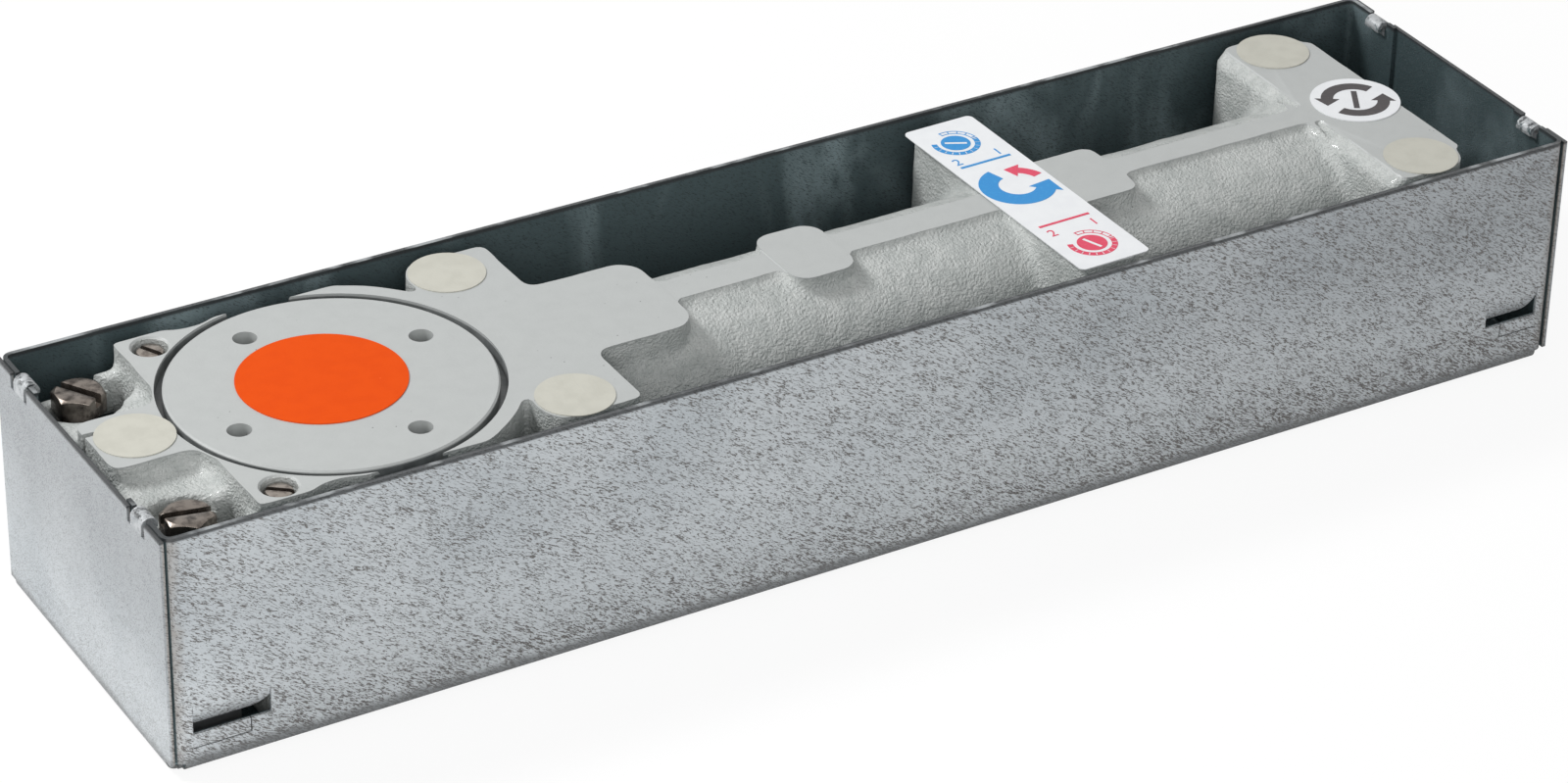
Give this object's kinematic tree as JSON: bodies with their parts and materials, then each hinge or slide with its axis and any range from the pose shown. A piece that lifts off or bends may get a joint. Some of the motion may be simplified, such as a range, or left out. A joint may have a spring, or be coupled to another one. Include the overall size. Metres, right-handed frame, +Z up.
{
  "type": "floor spring door closer",
  "caption": "Concealed floor door closer: iron housing with heart cam, piston and spring in an open folded sheet box, with a covered spindle socket.",
  "frame": {"origin": "on the spindle axis, at the underside of the cement box", "axes": "+X along the closer from the spindle to the end plug, +Y across it, +Z up along the spindle"},
  "size_m": [0.369, 0.087, 0.06],
  "materials": {
    "galvanised_sheet": "galvanised steel sheet, pale blue grey with short dark flecks",
    "painted_casting": "light grey paint, smooth on the milled top and rough cast on the flanks",
    "painted_cover": "light grey paint, smooth turned face",
    "screw_steel": "dark brownish phosphated steel with bright chamfers",
    "bar_steel": "plain steel bar",
    "ground_steel": "hardened and ground steel",
    "bearing_steel": "polished bearing steel",
    "spring_steel": "oil hardened spring wire",
    "seal_rubber": "black nitrile rubber",
    "valve_brass": "turned brass",
    "orange_film": "matt orange adhesive film",
    "ivory_film": "matt ivory adhesive film",
    "white_film": "white printed adhesive film"
  },
  "bodies": {
    "housing": {"cement_box": "galvanised_sheet", "fixing_bar": "bar_steel", "fixing_bolts": "screw_steel", "closer_body": "painted_casting", "bearing_cover": "painted_cover", "cover_seal": "seal_rubber", "shaft_seal": "seal_rubber", "upper_outer_race": "bearing_steel", "lower_cup": "bearing_steel", "thrust_washer": "valve_brass", "main_spring": "spring_steel", "end_plug": "ground_steel", "end_plug_seal": "seal_rubber", "channel_plugs": "ground_steel", "direction_label": "white_film"},
    "spindle": {"cam_spindle": "ground_steel", "heart_cam": "ground_steel", "cam_key": "bar_steel", "cam_retaining_ring": "spring_steel", "upper_inner_race": "bearing_steel"},
    "bearing_balls": {"upper_balls": "bearing_steel"},
    "bearing_needles": {"lower_needles": "bearing_steel"},
    "piston_carriage": {"piston": "ground_steel", "roller_pin": "ground_steel", "piston_ring": "bar_steel", "check_retainer": "ground_steel"},
    "check_ball": {"check_ball": "bearing_steel"},
    "roller": {"cam_roller": "bearing_steel"},
    "spring_seat": {"spring_seat": "ground_steel"},
    "adjuster": {"force_adjuster": "bar_steel", "adjuster_seal": "seal_rubber"},
    "closing_valve": {"closing_valve": "valve_brass", "closing_valve_seal": "seal_rubber"},
    "latch_valve": {"latch_valve": "valve_brass", "latch_valve_seal": "seal_rubber"},
    "level_front": {"level_screw_front": "screw_steel"},
    "level_rear": {"level_screw_rear": "screw_steel"},
    "spindle_label": {"spindle_label": "orange_film"},
    "hole_labels": {"hole_labels": "ivory_film"},
    "valve_label": {"valve_label": "white_film"}
  },
  "joints": [
    {"name": "spindle_turn", "type": "hinge", "parent": "housing", "child": "spindle", "pos_m": [0, 0, 0.03], "axis": [0, 0, 1], "range_deg": [0, 175], "stiffness_Nm_per_rad": 6, "springref_deg": -28.65},
    {"name": "balls_orbit", "type": "hinge", "parent": "housing", "child": "bearing_balls", "pos_m": [0, 0, 0.046], "axis": [0, 0, 1], "range_deg": [0, 76]},
    {"name": "needles_orbit", "type": "hinge", "parent": "housing", "child": "bearing_needles", "pos_m": [0, 0, 0.011], "axis": [0, 0, 1], "range_deg": [0, 78]},
    {"name": "piston_slide", "type": "slide", "parent": "housing", "child": "piston_carriage", "axis": [1, 0, 0], "range_m": [0, 0.0171], "deforming": ["main_spring"]},
    {"name": "check_ball_lift", "type": "slide", "parent": "piston_carriage", "child": "check_ball", "axis": [-1, 0, 0], "range_m": [0, 0.0015]},
    {"name": "roller_spin", "type": "hinge", "parent": "piston_carriage", "child": "roller", "pos_m": [0.0225, 0, 0.0295], "axis": [0, 0, 1], "range_deg": [-450, 0]},
    {"name": "adjuster_turn", "type": "hinge", "parent": "housing", "child": "adjuster", "pos_m": [0.27, 0, 0.0295], "axis": [1, 0, 0], "range_deg": [0, 2165]},
    {"name": "seat_travel", "type": "slide", "parent": "housing", "child": "spring_seat", "axis": [-1, 0, 0], "range_m": [0, 0.009]},
    {"name": "closing_valve_turn", "type": "hinge", "parent": "housing", "child": "closing_valve", "pos_m": [0.18055, 0.028, 0.05], "axis": [0, 0, 1], "range_deg": [0, 540]},
    {"name": "latch_valve_turn", "type": "hinge", "parent": "housing", "child": "latch_valve", "pos_m": [0.18055, -0.028, 0.05], "axis": [0, 0, 1], "range_deg": [0, 540]},
    {"name": "level_front_turn", "type": "hinge", "parent": "housing", "child": "level_front", "pos_m": [-0.02859, -0.0331, 0.03], "axis": [0, 0, 1], "range_deg": [-720, 720]},
    {"name": "level_rear_turn", "type": "hinge", "parent": "housing", "child": "level_rear", "pos_m": [-0.02859, 0.0331, 0.03], "axis": [0, 0, 1], "range_deg": [-720, 720]},
    {"name": "spindle_label_lift", "type": "slide", "parent": "housing", "child": "spindle_label", "axis": [0, 0, 1], "range_m": [0, 0.08]},
    {"name": "hole_labels_lift", "type": "slide", "parent": "housing", "child": "hole_labels", "axis": [0, 0, 1], "range_m": [0, 0.08]},
    {"name": "valve_label_lift", "type": "slide", "parent": "housing", "child": "valve_label", "axis": [0, 0, 1], "range_m": [0, 0.08]}
  ],
  "couplings": [
    {"joint": "balls_orbit", "follows": "spindle_turn", "ratio": 0.425},
    {"joint": "needles_orbit", "follows": "spindle_turn", "ratio": 0.44},
    {"joint": "piston_slide", "follows": "spindle_turn", "m_per_rad": 0.0055704},
    {"joint": "roller_spin", "follows": "spindle_turn", "ratio": -2.5},
    {"joint": "adjuster_turn", "follows": "seat_travel", "rad_per_m": 4188.8}
  ]
}
